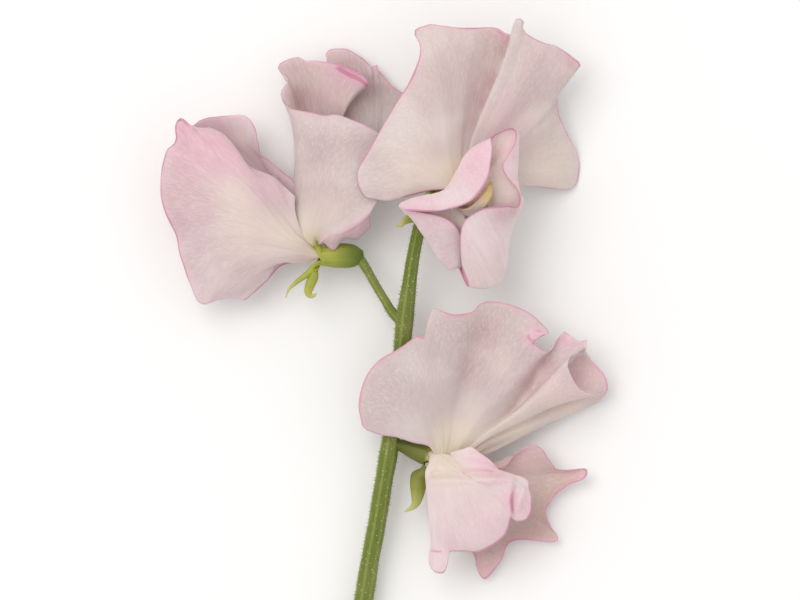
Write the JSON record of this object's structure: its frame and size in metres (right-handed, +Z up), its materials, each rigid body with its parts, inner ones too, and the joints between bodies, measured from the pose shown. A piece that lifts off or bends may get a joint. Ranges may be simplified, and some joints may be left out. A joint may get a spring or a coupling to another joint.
{
  "type": "sweet pea flower",
  "caption": "Cut sweet pea stem lying on its side, with ruffled blush blossoms, each with a standard, wings and a keel in a green calyx.",
  "frame": {"origin": "under the middle of the bounding box, on the surface that the flower rests on", "axes": "+Y along the stem from the cut end towards the top blossom, +Z up, away from the surface"},
  "size_m": [0.09, 0.1378, 0.0266],
  "materials": {
    "petal": "silky, pale blush with a pink edge",
    "keel": "silky, cream to yellow",
    "calyx": "soft leafy green",
    "stem": "finely haired green"
  },
  "bodies": {
    "root": {"flower_stem": "stem", "upper_calyx": "calyx", "upper_standard": "petal", "upper_left_wing": "petal", "upper_right_wing": "petal", "upper_keel": "keel", "left_calyx": "calyx", "left_standard": "petal", "left_near_wing": "petal", "left_far_wing": "petal", "left_keel": "keel", "lower_calyx": "calyx", "lower_standard": "petal", "lower_near_wing": "petal", "lower_far_wing": "petal", "lower_keel": "keel"}
  },
  "joints": []
}
